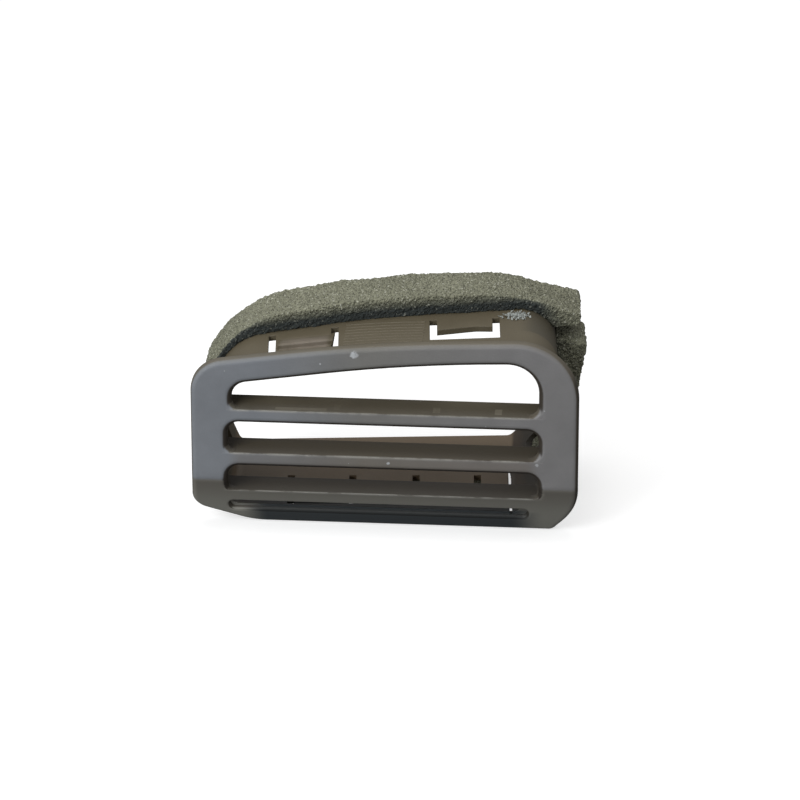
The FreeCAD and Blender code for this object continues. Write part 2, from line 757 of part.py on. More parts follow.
for name, corners in strips.items():
    block = new_body(f"{name}_block")
    section = new_sketch(block, f"{name}_section", "XZ_Plane")
    outline(section, corners)
    extrude(block, "Pad", f"{name}_run", section, "mouth_depth", along=(f"- {SKEW}", "1", "0"))
    strip = boolean("Common", f"{name}_band", block, foam_band)
    foams.append(boolean("Cut", name, strip, duct["duct_outside"]))

grille = doc.addObject("Part::MultiFuse", "vent_grille")
grille.Shapes = [face, skirt, inner_bars, top_catch, *floor_catches]
grille.Refine = True
grille.Label = "vent_grille"
doc.recompute()

# The origin of all pieces: the middle of the panel aperture, in the plane of the flange's back
nodes = [grille, *foams]
for node in nodes:
    bind(node, "Placement.Base.y", "- face_wall")
    bind(node, "Placement.Base.z", f"- 0.5 * ( {FLOOR_LOW} + {ROOF_CROWN} )")
doc.recompute()

os.makedirs("parts", exist_ok=True)
for thing in doc.Objects:
    if {"Invalid", "Error"} & set(thing.State):
        raise RuntimeError(f"{thing.Label} could not be built")
for node in nodes:
    shape = node.Shape
    if shape.isNull() or not shape.isValid() or len(shape.Solids) != 1:
        raise RuntimeError(f"{node.Label} isn't one sound solid")
    shape.exportStep(f"parts/{node.Label}.step")
    print(node.Label, round(shape.Volume, 1), shape.BoundBox)
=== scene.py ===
import math
import random

import bmesh
import bpy
import numpy as np
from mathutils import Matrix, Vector, noise
from mathutils.bvhtree import BVHTree


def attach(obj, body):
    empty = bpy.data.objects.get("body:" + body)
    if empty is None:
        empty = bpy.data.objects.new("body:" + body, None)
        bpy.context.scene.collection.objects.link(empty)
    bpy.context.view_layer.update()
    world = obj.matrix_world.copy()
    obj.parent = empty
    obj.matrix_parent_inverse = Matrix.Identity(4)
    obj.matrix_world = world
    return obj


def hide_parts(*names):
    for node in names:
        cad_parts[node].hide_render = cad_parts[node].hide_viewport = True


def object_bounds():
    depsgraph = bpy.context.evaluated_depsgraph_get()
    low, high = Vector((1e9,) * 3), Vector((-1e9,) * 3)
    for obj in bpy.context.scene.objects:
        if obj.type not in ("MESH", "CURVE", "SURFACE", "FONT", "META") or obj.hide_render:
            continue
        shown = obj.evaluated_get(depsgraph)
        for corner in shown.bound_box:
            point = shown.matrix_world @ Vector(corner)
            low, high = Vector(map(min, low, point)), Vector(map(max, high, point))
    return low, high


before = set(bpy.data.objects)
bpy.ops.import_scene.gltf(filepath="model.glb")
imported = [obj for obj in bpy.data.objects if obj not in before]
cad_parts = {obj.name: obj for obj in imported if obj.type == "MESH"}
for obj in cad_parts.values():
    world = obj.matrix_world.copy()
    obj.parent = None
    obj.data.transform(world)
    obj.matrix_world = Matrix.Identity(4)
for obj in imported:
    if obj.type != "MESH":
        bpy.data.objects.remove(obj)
cad_low, cad_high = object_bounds()


# Camera: the photograph's angle, from a long lens far away that is level from side to side.
# The lens and the target give the photograph's framing.
camera_data = bpy.data.cameras.new("camera")
camera = bpy.data.objects.new("camera", camera_data)
bpy.context.scene.collection.objects.link(camera)
bpy.context.scene.camera = camera
camera_azimuth = math.radians(3.9)
camera_elevation = math.radians(27.0)
camera_distance = 1.9
camera_target = Vector((0.0053, -0.0026, 0.0148))
camera_back = Vector(
    (
        math.sin(camera_azimuth) * math.cos(camera_elevation),
        -math.cos(camera_azimuth) * math.cos(camera_elevation),
        math.sin(camera_elevation),
    )
)
camera_data.sensor_width = 36.0
camera_data.lens = 256.5
camera.location = camera_target + camera_back * camera_distance
camera.rotation_mode = "QUATERNION"
camera.rotation_quaternion = (-camera_back).to_track_quat("-Z", "Y")
camera_data.clip_start = 0.1
camera_data.clip_end = 50.0


# World and lamps: a pale dome that is dark below the horizon, a soft lamp above and one in front at the left.
# The camera sees the surround as plain white.
world = bpy.data.worlds.new("surround")
bpy.context.scene.world = world
world.use_nodes = True
nodes = world.node_tree.nodes
links = world.node_tree.links
nodes.clear()
world_out = nodes.new("ShaderNodeOutputWorld")
world_mix = nodes.new("ShaderNodeMixShader")
world_fill = nodes.new("ShaderNodeBackground")
world_seen = nodes.new("ShaderNodeBackground")
world_path = nodes.new("ShaderNodeLightPath")
world_way = nodes.new("ShaderNodeTexCoord")
world_split = nodes.new("ShaderNodeSeparateXYZ")
world_height = nodes.new("ShaderNodeMapRange")
world_height.inputs["From Min"].default_value = -0.15
world_height.inputs["From Max"].default_value = 0.25
world_height.inputs["To Min"].default_value = 0.03
world_height.inputs["To Max"].default_value = 0.52
links.new(world_way.outputs["Generated"], world_split.inputs["Vector"])
links.new(world_split.outputs["Z"], world_height.inputs["Value"])
links.new(world_height.outputs["Result"], world_fill.inputs["Strength"])
world_fill.inputs["Color"].default_value = (1.0, 1.0, 1.0, 1.0)
world_seen.inputs["Color"].default_value = (1.0, 1.0, 1.0, 1.0)
world_seen.inputs["Strength"].default_value = 1.0
links.new(world_path.outputs["Is Camera Ray"], world_mix.inputs["Fac"])
links.new(world_fill.outputs["Background"], world_mix.inputs[1])
links.new(world_seen.outputs["Background"], world_mix.inputs[2])
links.new(world_mix.outputs["Shader"], world_out.inputs["Surface"])
for name, place, size, power, colour in (
    ("lamp_above", (-0.05, -0.05, 0.80), 0.45, 2.3, (1.0, 1.0, 1.0)),
    ("lamp_front_left", (-0.42, -0.52, 0.42), 0.40, 4.2, (0.97, 0.99, 1.0)),
):
    lamp_data = bpy.data.lights.new(name, "AREA")
    lamp_data.shape = "SQUARE"
    lamp_data.size = size
    lamp_data.energy = power
    lamp_data.color = colour
    lamp = bpy.data.objects.new(name, lamp_data)
    bpy.context.scene.collection.objects.link(lamp)
    lamp.location = place
    lamp.rotation_mode = "QUATERNION"
    lamp.rotation_quaternion = (-Vector(place)).to_track_quat("-Z", "Y")


# Floor: a plain pale sheet just under the part, which keeps its soft shadow.
# To all rays but the camera's it is darker, so that it sends little light back up.
floor_mesh = bpy.data.meshes.new("floor")
floor_half = 3.0
floor_gap = 0.0002
floor_level = cad_low.z - floor_gap
floor_mesh.from_pydata(
    [
        (-floor_half, -floor_half, floor_level),
        (floor_half, -floor_half, floor_level),
        (floor_half, floor_half, floor_level),
        (-floor_half, floor_half, floor_level),
    ],
    [],
    [(0, 1, 2, 3)],
)
floor = bpy.data.objects.new("floor", floor_mesh)
bpy.context.scene.collection.objects.link(floor)
floor_material = bpy.data.materials.new("floor_white")
floor_material.use_nodes = True
nodes = floor_material.node_tree.nodes
links = floor_material.node_tree.links
nodes.clear()
floor_out = nodes.new("ShaderNodeOutputMaterial")
floor_mix = nodes.new("ShaderNodeMixShader")
floor_path = nodes.new("ShaderNodeLightPath")
floor_seen = nodes.new("ShaderNodeAddShader")
floor_sheet = nodes.new("ShaderNodeBsdfDiffuse")
floor_sheet.inputs["Color"].default_value = (0.55, 0.55, 0.55, 1.0)
floor_glow = nodes.new("ShaderNodeEmission")
floor_glow.inputs["Strength"].default_value = 0.60
links.new(floor_sheet.outputs["BSDF"], floor_seen.inputs[0])
links.new(floor_glow.outputs["Emission"], floor_seen.inputs[1])
floor_hidden = nodes.new("ShaderNodeBsdfDiffuse")
floor_hidden.inputs["Color"].default_value = (0.12, 0.12, 0.12, 1.0)
links.new(floor_path.outputs["Is Camera Ray"], floor_mix.inputs["Fac"])
links.new(floor_hidden.outputs["BSDF"], floor_mix.inputs[1])
links.new(floor_seen.outputs["Shader"], floor_mix.inputs[2])
links.new(floor_mix.outputs["Shader"], floor_out.inputs["Surface"])
floor_mesh.materials.append(floor_material)


# Grille: one moulding in brown plastic, with grey paint on its front and bare plastic on all the rest.
# Its shape is the CAD's own. Paint is told from plastic by the surface's direction and by its depth
# behind the front of the plate, and scuffs, a paler tab, painted shade and painted highlights lie over both.
grille_material = bpy.data.materials.new("painted_plastic")
grille_material.use_nodes = True
nodes = grille_material.node_tree.nodes
links = grille_material.node_tree.links
nodes.clear()
out = nodes.new("ShaderNodeOutputMaterial")
shader = nodes.new("ShaderNodeBsdfPrincipled")
links.new(shader.outputs["BSDF"], out.inputs["Surface"])
place = nodes.new("ShaderNodeTexCoord")
split_place = nodes.new("ShaderNodeSeparateXYZ")
links.new(place.outputs["Object"], split_place.inputs["Vector"])
split_normal = nodes.new("ShaderNodeSeparateXYZ")
links.new(place.outputs["Normal"], split_normal.inputs["Vector"])
along_x, along_y, along_z = (split_place.outputs[axis] for axis in "XYZ")
normal_x = split_normal.outputs["X"]
normal_z = split_normal.outputs["Z"]


def fade(value, zero_at, one_at):
    """A smooth share from 0 at one value to 1 at another."""
    step = nodes.new("ShaderNodeMapRange")
    step.interpolation_type = "SMOOTHSTEP"
    step.inputs["From Min"].default_value = zero_at
    step.inputs["From Max"].default_value = one_at
    links.new(value, step.inputs["Value"])
    return step.outputs["Result"]


def straight(value, zero_at, one_at, least=0.0, most=1.0):
    """A share that changes evenly between two values."""
    step = nodes.new("ShaderNodeMapRange")
    step.inputs["From Min"].default_value = zero_at
    step.inputs["From Max"].default_value = one_at
    step.inputs["To Min"].default_value = least
    step.inputs["To Max"].default_value = most
    links.new(value, step.inputs["Value"])
    return step.outputs["Result"]


def product(*values):
    """The product of some shares, each an output or a number."""
    total = values[0]
    for value in values[1:]:
        times = nodes.new("ShaderNodeMath")
        times.operation = "MULTIPLY"
        links.new(total, times.inputs[0])
        if isinstance(value, (int, float)):
            times.inputs[1].default_value = value
        else:
            links.new(value, times.inputs[1])
        total = times.outputs["Value"]
    return total


def over(share, under, colour, way="MIX"):
    """A colour laid over another by a share."""
    layer = nodes.new("ShaderNodeMix")
    layer.data_type = "RGBA"
    layer.blend_type = way
    links.new(share, layer.inputs["Factor"])
    for socket, tone in (("A", under), ("B", colour)):
        if isinstance(tone, tuple):
            layer.inputs[socket].default_value = (*tone, 1.0)
        else:
            links.new(tone, layer.inputs[socket])
    return layer.outputs["Result"]


# How far a point lies behind the front of the plate, whose chin leans back below the crease
face_front = -0.003
crease_level = -0.01735
chin_slope = 0.5762
chin_fall = 0.03
chin_front = straight(
    along_z, crease_level, crease_level - chin_fall, face_front, face_front + chin_fall * chin_slope
)
behind_plate = nodes.new("ShaderNodeMath")
behind_plate.operation = "SUBTRACT"
links.new(along_y, behind_plate.inputs[0])
links.new(chin_front, behind_plate.inputs[1])
behind = behind_plate.outputs["Value"]

# How squarely the surface faces out of the plate
crease_blend = 0.0004
outward = nodes.new("ShaderNodeVectorMath")
outward.operation = "DOT_PRODUCT"
links.new(place.outputs["Normal"], outward.inputs[0])
on_chin = fade(along_z, crease_level + crease_blend, crease_level - crease_blend)
out_of_plate = over(on_chin, (0.0, 1.0, 0.0), (0.0, 0.866, 0.499))
links.new(out_of_plate, outward.inputs[1])
faces_out = product(outward.outputs["Value"], -1.0)

mottle = nodes.new("ShaderNodeTexNoise")
mottle.inputs["Scale"].default_value = 75.0
mottle.inputs["Detail"].default_value = 7.0
mottle.inputs["Roughness"].default_value = 0.62
links.new(place.outputs["Object"], mottle.inputs["Vector"])
grain = nodes.new("ShaderNodeTexNoise")
grain.inputs["Scale"].default_value = 1500.0
grain.inputs["Detail"].default_value = 2.0
links.new(place.outputs["Object"], grain.inputs["Vector"])

# Bare plastic: brown, lighter and redder on the floor, with painted shade on the lower bars, behind the slit
# and on the right side
dark_brown = (0.074, 0.060, 0.035)
light_brown = (0.106, 0.089, 0.056)
floor_brown = (0.165, 0.118, 0.070)
tab_pale = (0.190, 0.160, 0.130)
lower_bars_painted_shade = (0.66, 0.62, 0.56)
third_bar_painted_shade = (0.66, 0.66, 0.74)
past_slit_painted_shade = (0.30, 0.28, 0.26)
right_side_painted_shade = (0.70, 0.73, 0.76)
before_bar_rear = fade(along_y, 0.0122, 0.0116)
past_bar_rear = fade(along_y, 0.0116, 0.0124)
bare = over(mottle.outputs["Fac"], dark_brown, light_brown)
among_bars = product(before_bar_rear, fade(along_z, 0.0112, 0.0106))
# Painted shade on the lower bars, deeper on the third
bare = over(product(among_bars, fade(along_z, 0.0000, -0.0020)), bare, lower_bars_painted_shade, "MULTIPLY")
bare = over(product(among_bars, fade(along_z, -0.0160, -0.0190)), bare, third_bar_painted_shade, "MULTIPLY")
on_floor = product(past_bar_rear, fade(along_z, -0.0250, -0.0285))
bare = over(on_floor, bare, floor_brown)
# Painted shade on the lower right corner wall inside the duct
past_slit = product(past_bar_rear, fade(along_x, 0.0395, 0.0410), fade(along_z, 0.0000, -0.0060))
bare = over(past_slit, bare, past_slit_painted_shade, "MULTIPLY")
# Painted shade on the right end of the top wall and on the right wall
right_side = product(past_bar_rear, fade(along_x, 0.0430, 0.0500), fade(along_z, 0.0000, 0.0100))
bare = over(right_side, bare, right_side_painted_shade, "MULTIPLY")
# A paler patch on the ramp of the left tab
paler_tab = product(
    fade(along_x, -0.0365, -0.0345),
    fade(along_x, -0.0185, -0.0205),
    fade(along_y, 0.0030, 0.0045),
    fade(along_y, 0.0150, 0.0090),
    fade(along_z, 0.0120, 0.0150),
    fade(mottle.outputs["Fac"], 0.20, 0.55),
    0.7,
)
bare = over(paler_tab, bare, tab_pale)

# Painted light: pale pools on the top of the first bar, where light falls through the tab slots in the top
# wall
light_pool_colour = (0.205, 0.180, 0.130)
first_bar_top = 0.0094
second_bar_top = -0.0069
third_bar_top = -0.0226
side_blend = 0.0002
depth_blend = 0.0003
for patch_x, patch_y, half_x, half_y, strength in (
    (-0.0160, 0.0012, 0.0010, 0.0018, 0.35),
    (0.0173, 0.0012, 0.0011, 0.0018, 0.75),
    (0.0380, 0.0012, 0.0011, 0.0018, 0.85),
    (-0.0280, -0.0008, 0.0085, 0.0008, 0.55),
):
    patch = product(
        fade(along_x, patch_x - half_x - side_blend, patch_x - half_x),
        fade(along_x, patch_x + half_x + side_blend, patch_x + half_x),
        fade(along_y, patch_y - half_y - depth_blend, patch_y - half_y),
        fade(along_y, patch_y + half_y + depth_blend, patch_y + half_y),
        fade(along_z, first_bar_top - 0.0006, first_bar_top - 0.0004),
        fade(along_z, first_bar_top + 0.0006, first_bar_top + 0.0004),
        fade(mottle.outputs["Fac"], 0.28, 0.60),
        strength,
    )
    bare = over(patch, bare, light_pool_colour)

# Paint: grey with painted light across the face, bluish on the left; browner on the middle bars and the chin;
# painted shade under the chin's slot
paint_and_light_left = (0.156, 0.166, 0.182, 1.0)
paint_and_light_middle = (0.147, 0.144, 0.136, 1.0)
paint_and_light_right = (0.164, 0.161, 0.162, 1.0)
paint_mottle = (1.45, 1.45, 1.45)
lower_bars_paint = (0.90, 0.84, 0.77)
chin_upper_paint = (0.192, 0.180, 0.156)
chin_lower_paint = (0.290, 0.284, 0.252)
chin_slot_band_painted_shade = (0.058, 0.067, 0.072)
# The grey paint with painted light laid across it from left to right
across = nodes.new("ShaderNodeValToRGB")
across.color_ramp.elements[0].position = 0.08
across.color_ramp.elements[0].color = paint_and_light_left
across.color_ramp.elements[1].position = 0.95
across.color_ramp.elements[1].color = paint_and_light_right
middle = across.color_ramp.elements.new(0.42)
middle.color = paint_and_light_middle
face_half_width = 0.065
links.new(fade(along_x, -face_half_width, face_half_width), across.inputs["Fac"])
paint = over(mottle.outputs["Fac"], across.outputs["Color"], paint_mottle, "MULTIPLY")
between_borders = product(fade(along_x, -0.0535, -0.0480), fade(along_x, 0.0525, 0.0470))
paint = over(product(between_borders, fade(along_z, -0.0030, -0.0090)), paint, lower_bars_paint, "MULTIPLY")
chin = over(fade(along_z, -0.0180, -0.0330), chin_upper_paint, chin_lower_paint)
paint = over(fade(along_z, crease_level + 0.0008, crease_level - 0.0008), paint, chin)
# Painted shade and a bluish painted reflection on the band under the chin's slot, which faces down
low_band = product(
    fade(along_x, -0.0500, -0.0400), fade(along_x, 0.0540, 0.0420), fade(along_z, -0.0292, -0.0308)
)
paint = over(low_band, paint, chin_slot_band_painted_shade)
# Painted shade on the upward sill in the chin's slot, over its light rounding
low_sill = product(low_band, fade(normal_z, -0.47, -0.30), before_bar_rear)

# The coat: the plate's front, the rim's outer rounding, and a thin spray on what lies just behind, which is
# also painted light on the fronts of the bar tops
inside_rim = product(fade(along_x, -0.0590, -0.0580), fade(along_x, 0.0590, 0.0580))
within = product(inside_rim, fade(normal_z, 0.10, 0.0))
facing_wide = fade(faces_out, 0.30, 0.80)
facing_close = fade(faces_out, 0.80, 0.95)
facing = nodes.new("ShaderNodeMix")
links.new(within, facing.inputs["Factor"])
links.new(facing_wide, facing.inputs["A"])
links.new(facing_close, facing.inputs["B"])
coat = product(facing.outputs["Result"], fade(behind, 0.0032, 0.0022), fade(normal_x, 0.75, 0.40))
spray_and_light_strength = 0.16
sprayed_and_lit = product(fade(behind, 0.0075, 0.0), spray_and_light_strength)
painted = nodes.new("ShaderNodeMath")
painted.operation = "MAXIMUM"
links.new(coat, painted.inputs[0])
links.new(sprayed_and_lit, painted.inputs[1])
tint = over(painted.outputs["Value"], bare, paint)

# Bare lips with painted shade: what rounds into the slots is bare plastic darkened as painted shade, and so
# is the rounding at the right edge of the plate
bare_lip_shade_colour = (0.030, 0.024, 0.018)
sill_painted_shade = (0.016, 0.018, 0.018)
right_edge_bare_shade_colour = (0.040, 0.034, 0.024)
top_rim_painted_shade = (0.73, 0.71, 0.66)
lip_strength = 0.86
right_edge_strength = 0.75
# Painted shade on the bare lips that round into the slots
lip = product(
    inside_rim,
    fade(behind, 0.0030, 0.0024),
    fade(faces_out, 0.98, 0.86),
    fade(normal_z, 0.30, 0.10),
    fade(along_z, -0.0290, -0.0270),
)
tint = over(product(lip, lip_strength), tint, bare_lip_shade_colour)
tint = over(low_sill, tint, sill_painted_shade)
# Painted shade, a little warmer, on the top rim, which faces up
top_rim = product(fade(along_z, 0.0160, 0.0200), fade(normal_z, 0.10, 0.75), painted.outputs["Value"])
tint = over(top_rim, tint, top_rim_painted_shade, "MULTIPLY")
# Bare plastic with painted shade on the rounding at the right edge, which faces away from the lamps
right_edge = product(fade(along_x, 0.0625, 0.0640), fade(normal_x, 0.35, 0.75))
tint = over(product(right_edge, right_edge_strength), tint, right_edge_bare_shade_colour)

# Painted highlight: a pale broken line along the front edge of each bar's top, where its rounding catches the
# light
edge_highlight_colour = (0.34, 0.33, 0.30)
for bar_top, strength in ((first_bar_top, 0.55), (second_bar_top, 0.60), (third_bar_top, 0.75)):
    edge = product(
        fade(along_z, bar_top - 0.0009, bar_top - 0.0002),
        fade(along_z, bar_top + 0.0006, bar_top + 0.0001),
        fade(behind, 0.0010, 0.0002),
        fade(along_x, -0.0530, -0.0500),
        fade(along_x, 0.0515, 0.0480),
        fade(mottle.outputs["Fac"], 0.36, 0.56),
        strength,
    )
    tint = over(edge, tint, edge_highlight_colour)

# Scuffs and specks: small pale marks on the face, each a ragged spot round a place on its surface
scuff_colour = (0.52, 0.54, 0.56)
solid_share = 0.2
ragged = nodes.new("ShaderNodeTexNoise")
ragged.inputs["Scale"].default_value = 700.0
ragged.inputs["Detail"].default_value = 4.0
links.new(place.outputs["Object"], ragged.inputs["Vector"])
for scuff_x, scuff_z, radius, strength in (
    (-0.0100, 0.0312, 0.0026, 0.85),
    (-0.0213, 0.0275, 0.0006, 0.7),
    (-0.0533, 0.0238, 0.0005, 0.7),
    (0.0013, -0.0090, 0.0010, 0.75),
    (0.0340, 0.0060, 0.0004, 0.5),
    (-0.0120, -0.0095, 0.0004, 0.5),
    (0.0512, -0.0080, 0.0012, 0.6),
    (0.0535, 0.0125, 0.0005, 0.5),
):
    away = nodes.new("ShaderNodeVectorMath")
    away.operation = "DISTANCE"
    away.inputs[1].default_value = (scuff_x, face_front, scuff_z)
    links.new(place.outputs["Object"], away.inputs[0])
    worn = product(straight(away.outputs["Value"], radius, radius * solid_share), ragged.outputs["Fac"])
    tint = over(straight(worn, 0.26, 0.42, most=strength), tint, scuff_colour)
links.new(tint, shader.inputs["Base Color"])

# Finish: an uneven gloss, softened edges and a fine grain
least_rough = 0.50
most_rough = 0.66
links.new(straight(mottle.outputs["Fac"], 0.0, 1.0, least_rough, most_rough), shader.inputs["Roughness"])
soft_edges = nodes.new("ShaderNodeBevel")
soft_edges.samples = 6
soft_edges.inputs["Radius"].default_value = 0.0005
relief = nodes.new("ShaderNodeBump")
relief.inputs["Strength"].default_value = 0.25
relief.inputs["Distance"].default_value = 0.0002
links.new(grain.outputs["Fac"], relief.inputs["Height"])
links.new(soft_edges.outputs["Normal"], relief.inputs["Normal"])
links.new(relief.outputs["Normal"], shader.inputs["Normal"])
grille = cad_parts["vent_grille"]
grille.data.materials.clear()
grille.data.materials.append(grille_material)


# Slot corners: parts of the same moulding that round the lower ends of the slots, which the CAD leaves sharp.
# Each piece fills one lower corner, and its lip runs from the side wall's rounding out to the bar's edge.
corner_mesh = bmesh.new()
lip_radius = 0.0024
plate_depth = 0.003
sunk = 0.0012
sunk_depth = 0.0001
proud = 5e-6
arc_steps = 12
lip_steps = 6
for wall_x, floor_z, side, front_radius, rear_radius in (
    (-0.0512, first_bar_top, 1, 0.0030, 0.0026),
    (-0.0528, second_bar_top, 1, 0.0030, 0.0026),
    (-0.0528, third_bar_top, 1, 0.0026, 0.0022),
    (0.0516, first_bar_top, -1, 0.0046, 0.0040),
    (0.0516, second_bar_top, -1, 0.0042, 0.0036),
    (0.0516, third_bar_top, -1, 0.0030, 0.0026),
):
    rings = []
    for step in range(lip_steps + 2):
        turn = min(step, lip_steps) / lip_steps * math.pi / 2
        inward = math.sin(turn)
        depth = lip_radius * (1 - math.cos(turn)) if step <= lip_steps else plate_depth
        radius = front_radius + (rear_radius - front_radius) * inward
        edge_x = -lip_radius * (1 - inward)
        arc = []
        for i in range(arc_steps + 1):
            angle = math.pi / 2 * i / arc_steps
            arc.append((edge_x + radius - radius * math.sin(angle), radius - radius * math.cos(angle)))
        half = arc_steps // 2
        sole = [(x, -sunk) for x, z in arc[: half + 1]]
        back = [(-lip_radius - sunk, z) for x, z in arc[half:]]
        ring = []
        for i, (x, z) in enumerate(arc + sole + [(-lip_radius - sunk, -sunk)] + back):
            level = floor_z + z
            lean = chin_slope * max(0.0, crease_level - level)
            inset = sunk_depth if step == 0 and i > arc_steps else -proud
            front = face_front + inset + depth + lean
            ring.append(corner_mesh.verts.new((wall_x + side * x, front, level)))
        rings.append(ring)
    first_sole = arc_steps + 1
    turn_point = first_sole + half + 1
    first_back = turn_point + 1
    for ring in (rings[0], rings[-1]):
        for i in range(half):
            corner_mesh.faces.new((ring[i], ring[i + 1], ring[first_sole + i + 1], ring[first_sole + i]))
            corner_mesh.faces.new(
                (ring[half + i], ring[half + i + 1], ring[first_back + i + 1], ring[first_back + i])
            )
        corner_mesh.faces.new((ring[half], ring[first_back], ring[turn_point], ring[turn_point - 1]))
    edge_loop = list(range(arc_steps + 1)) + list(range(first_back + half, first_sole - 1, -1))
    for near, far in zip(rings, rings[1:]):
        for i, j in zip(edge_loop, edge_loop[1:] + edge_loop[:1]):
            corner_mesh.faces.new((near[i], far[i], far[j], near[j]))
bmesh.ops.recalc_face_normals(corner_mesh, faces=corner_mesh.faces)
for face in corner_mesh.faces:
    face.smooth = True
corners_data = bpy.data.meshes.new("slot_corners")
corner_mesh.to_mesh(corners_data)
corner_mesh.free()
slot_corners = bpy.data.objects.new("slot_corners", corners_data)
bpy.context.scene.collection.objects.link(slot_corners)
corners_data.set_sharp_from_angle(angle=math.radians(40))
corners_data.materials.append(grille_material)
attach(slot_corners, "root")


# Moulded lines: eight fine ridges of the same moulding, across the top wall between the two tabs.
# Each ridge is a closed strip laid on the wall from above, its middle raised and its sole sunk in the wall.
strip_thickness = 0.0002
middle_half_width = 0.00005
edge_lift = 0.00015
sole_sunk = 0.00018
first_line = (-0.0010, 0.0045, 0.2)
ridge_group = bpy.data.node_groups.new("moulded_lines", "GeometryNodeTree")
ridge_group.interface.new_socket("Geometry", in_out="OUTPUT", socket_type="NodeSocketGeometry")
for label, kind, value in (
    ("Wall", "NodeSocketObject", grille),
    ("Lines", "NodeSocketInt", 8),
    ("Spacing", "NodeSocketFloat", 0.0021),
    ("Line Length", "NodeSocketFloat", 0.0268),
    ("Line Width", "NodeSocketFloat", 0.0007),
    ("Line Height", "NodeSocketFloat", 0.00022),
    ("Material", "NodeSocketMaterial", grille_material),
):
    socket = ridge_group.interface.new_socket(label, in_out="INPUT", socket_type=kind)
    if not kind.endswith(("Object", "Material")):
        socket.default_value = value
nodes = ridge_group.nodes
links = ridge_group.links
entry = nodes.new("NodeGroupInput")
leave = nodes.new("NodeGroupOutput")
strip_size = nodes.new("ShaderNodeCombineXYZ")
strip_size.inputs["Z"].default_value = strip_thickness
links.new(entry.outputs["Line Length"], strip_size.inputs["X"])
links.new(entry.outputs["Line Width"], strip_size.inputs["Y"])
strip = nodes.new("GeometryNodeMeshCube")
strip.inputs["Vertices X"].default_value = 40
strip.inputs["Vertices Y"].default_value = 3
strip.inputs["Vertices Z"].default_value = 2
links.new(strip_size.outputs["Vector"], strip.inputs["Size"])
place_on_strip = nodes.new("GeometryNodeInputPosition")
split_strip = nodes.new("ShaderNodeSeparateXYZ")
links.new(place_on_strip.outputs["Position"], split_strip.inputs["Vector"])
off_middle = nodes.new("ShaderNodeMath")
off_middle.operation = "ABSOLUTE"
links.new(split_strip.outputs["Y"], off_middle.inputs[0])
near_middle = nodes.new("ShaderNodeMath")
near_middle.operation = "LESS_THAN"
near_middle.inputs[1].default_value = middle_half_width
links.new(off_middle.outputs["Value"], near_middle.inputs[0])
crest_height = nodes.new("ShaderNodeMath")
crest_height.operation = "MULTIPLY_ADD"
crest_height.inputs[2].default_value = edge_lift
links.new(near_middle.outputs["Value"], crest_height.inputs[0])
links.new(entry.outputs["Line Height"], crest_height.inputs[1])
on_top = nodes.new("ShaderNodeMath")
on_top.operation = "GREATER_THAN"
links.new(split_strip.outputs["Z"], on_top.inputs[0])
on_top.inputs[1].default_value = 0.0
lift = nodes.new("ShaderNodeMath")
lift.operation = "MULTIPLY"
links.new(crest_height.outputs["Value"], lift.inputs[0])
links.new(on_top.outputs["Value"], lift.inputs[1])
keep_lift = nodes.new("GeometryNodeStoreNamedAttribute")
keep_lift.inputs["Name"].default_value = "lift"
links.new(strip.outputs["Mesh"], keep_lift.inputs["Geometry"])
links.new(lift.outputs["Value"], keep_lift.inputs["Value"])
row = nodes.new("GeometryNodeMeshLine")
row.mode = "OFFSET"
row.inputs["Start Location"].default_value = first_line
links.new(entry.outputs["Lines"], row.inputs["Count"])
step_along = nodes.new("ShaderNodeCombineXYZ")
links.new(entry.outputs["Spacing"], step_along.inputs["Y"])
links.new(step_along.outputs["Vector"], row.inputs["Offset"])
set_out = nodes.new("GeometryNodeInstanceOnPoints")
links.new(row.outputs["Mesh"], set_out.inputs["Points"])
links.new(keep_lift.outputs["Geometry"], set_out.inputs["Instance"])
made_real = nodes.new("GeometryNodeRealizeInstances")
links.new(set_out.outputs["Instances"], made_real.inputs["Geometry"])
wall_info = nodes.new("GeometryNodeObjectInfo")
links.new(entry.outputs["Wall"], wall_info.inputs["Object"])
fall = nodes.new("GeometryNodeRaycast")
fall.inputs["Ray Direction"].default_value = (0.0, 0.0, -1.0)
fall.inputs["Ray Length"].default_value = 1.0
links.new(wall_info.outputs["Geometry"], fall.inputs["Target Geometry"])
kept_lift = nodes.new("GeometryNodeInputNamedAttribute")
kept_lift.inputs["Name"].default_value = "lift"
from_sole = nodes.new("ShaderNodeMath")
from_sole.operation = "SUBTRACT"
from_sole.inputs[1].default_value = sole_sunk
links.new(kept_lift.outputs["Attribute"], from_sole.inputs[0])
raise_by = nodes.new("ShaderNodeCombineXYZ")
links.new(from_sole.outputs["Value"], raise_by.inputs["Z"])
laid = nodes.new("GeometryNodeSetPosition")
links.new(made_real.outputs["Geometry"], laid.inputs["Geometry"])
links.new(fall.outputs["Hit Position"], laid.inputs["Position"])
links.new(raise_by.outputs["Vector"], laid.inputs["Offset"])
coated = nodes.new("GeometryNodeSetMaterial")
links.new(laid.outputs["Geometry"], coated.inputs["Geometry"])
links.new(entry.outputs["Material"], coated.inputs["Material"])
links.new(coated.outputs["Geometry"], leave.inputs["Geometry"])
moulded_lines = bpy.data.objects.new("moulded_lines", bpy.data.meshes.new("moulded_lines"))
bpy.context.scene.collection.objects.link(moulded_lines)
ridges = moulded_lines.modifiers.new("ridges", "NODES")
ridges.node_group = ridge_group
for item in ridge_group.interface.items_tree:
    if item.in_out == "INPUT" and item.name in ("Wall", "Material"):
        ridges[item.identifier] = grille if item.name == "Wall" else grille_material
bpy.context.view_layer.update()
evaluated_lines = moulded_lines.evaluated_get(bpy.context.evaluated_depsgraph_get())
ridge_mesh = bpy.data.meshes.new_from_object(evaluated_lines)
moulded_lines.modifiers.clear()
moulded_lines.data = ridge_mesh
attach(moulded_lines, "root")


